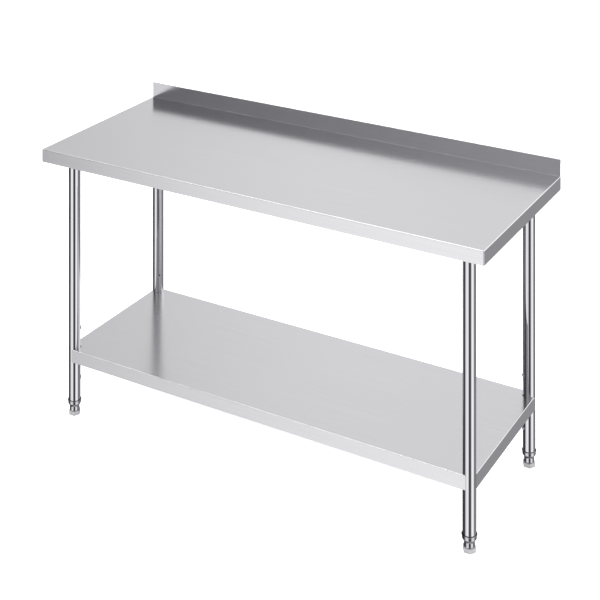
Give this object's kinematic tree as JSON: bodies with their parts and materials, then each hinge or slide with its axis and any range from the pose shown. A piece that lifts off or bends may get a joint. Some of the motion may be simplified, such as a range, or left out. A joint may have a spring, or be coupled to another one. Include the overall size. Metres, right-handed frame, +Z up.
{
  "type": "stainless work table",
  "caption": "Free-standing stainless work table with a rear upstand, a shelf hung between four round tube legs, and screw-adjustable feet.",
  "frame": {"origin": "on the floor, at the middle of the table's length and depth", "axes": "+X to the right end, +Y to the upstand side, +Z up"},
  "size_m": [1.524, 0.608, 0.916],
  "materials": {
    "brushed_sheet": "fine brushed stainless sheet, 1.0 to 1.2 mm, folded and hemmed",
    "polished_tube": "bright polished stainless tube",
    "polished_cup": "bright drawn stainless cup",
    "galvanised_sheet": "galvanised sheet, folded",
    "cast_alloy": "die-cast alloy, tumbled",
    "zinc_steel": "bright zinc-plated steel",
    "black_steel": "blackened hardened steel",
    "nylon": "moulded light grey nylon"
  },
  "bodies": {
    "frame": {"worktop": "brushed_sheet", "end_channel_left": "galvanised_sheet", "end_channel_right": "galvanised_sheet", "long_channel": "galvanised_sheet", "leg_socket_fl": "cast_alloy", "leg_socket_fr": "cast_alloy", "leg_socket_rl": "cast_alloy", "leg_socket_rr": "cast_alloy", "socket_screws": "black_steel", "leg_fl": "polished_tube", "leg_fr": "polished_tube", "leg_rl": "polished_tube", "leg_rr": "polished_tube", "leg_inserts": "zinc_steel", "foot_plug_fl": "zinc_steel", "foot_plug_fr": "zinc_steel", "foot_plug_rl": "zinc_steel", "foot_plug_rr": "zinc_steel", "shelf_screws": "zinc_steel", "shelf_washers": "zinc_steel"},
    "shelf": {"undershelf": "brushed_sheet", "shelf_bracket_fl": "galvanised_sheet", "shelf_bracket_fr": "galvanised_sheet", "shelf_bracket_rl": "galvanised_sheet", "shelf_bracket_rr": "galvanised_sheet", "shelf_channel": "galvanised_sheet"},
    "foot_shell_fl": {"foot_cup_fl": "polished_cup"},
    "foot_stem_fl": {"foot_spindle_fl": "zinc_steel", "foot_base_fl": "nylon"},
    "foot_shell_fr": {"foot_cup_fr": "polished_cup"},
    "foot_stem_fr": {"foot_spindle_fr": "zinc_steel", "foot_base_fr": "nylon"},
    "foot_shell_rl": {"foot_cup_rl": "polished_cup"},
    "foot_stem_rl": {"foot_spindle_rl": "zinc_steel", "foot_base_rl": "nylon"},
    "foot_shell_rr": {"foot_cup_rr": "polished_cup"},
    "foot_stem_rr": {"foot_spindle_rr": "zinc_steel", "foot_base_rr": "nylon"}
  },
  "joints": [
    {"name": "shelf_lift", "type": "slide", "parent": "frame", "child": "shelf", "axis": [0, 0, 1], "range_m": [0, 0.08]},
    {"name": "foot_level_fl", "type": "slide", "parent": "frame", "child": "foot_shell_fl", "axis": [0, 0, -1], "range_m": [0, 0.025]},
    {"name": "foot_turn_fl", "type": "hinge", "parent": "foot_shell_fl", "child": "foot_stem_fl", "pos_m": [-0.688, -0.23, 0.02], "axis": [0, 0, -1], "range_deg": [0, 5145]},
    {"name": "foot_level_fr", "type": "slide", "parent": "frame", "child": "foot_shell_fr", "axis": [0, 0, -1], "range_m": [0, 0.025]},
    {"name": "foot_turn_fr", "type": "hinge", "parent": "foot_shell_fr", "child": "foot_stem_fr", "pos_m": [0.688, -0.23, 0.02], "axis": [0, 0, -1], "range_deg": [0, 5145]},
    {"name": "foot_level_rl", "type": "slide", "parent": "frame", "child": "foot_shell_rl", "axis": [0, 0, -1], "range_m": [0, 0.025]},
    {"name": "foot_turn_rl", "type": "hinge", "parent": "foot_shell_rl", "child": "foot_stem_rl", "pos_m": [-0.688, 0.23, 0.02], "axis": [0, 0, -1], "range_deg": [0, 5145]},
    {"name": "foot_level_rr", "type": "slide", "parent": "frame", "child": "foot_shell_rr", "axis": [0, 0, -1], "range_m": [0, 0.025]},
    {"name": "foot_turn_rr", "type": "hinge", "parent": "foot_shell_rr", "child": "foot_stem_rr", "pos_m": [0.688, 0.23, 0.02], "axis": [0, 0, -1], "range_deg": [0, 5145]}
  ],
  "couplings": [
    {"joint": "foot_turn_fl", "follows": "foot_level_fl", "rad_per_m": 3590.4},
    {"joint": "foot_turn_fr", "follows": "foot_level_fr", "rad_per_m": 3590.4},
    {"joint": "foot_turn_rl", "follows": "foot_level_rl", "rad_per_m": 3590.4},
    {"joint": "foot_turn_rr", "follows": "foot_level_rr", "rad_per_m": 3590.4}
  ]
}
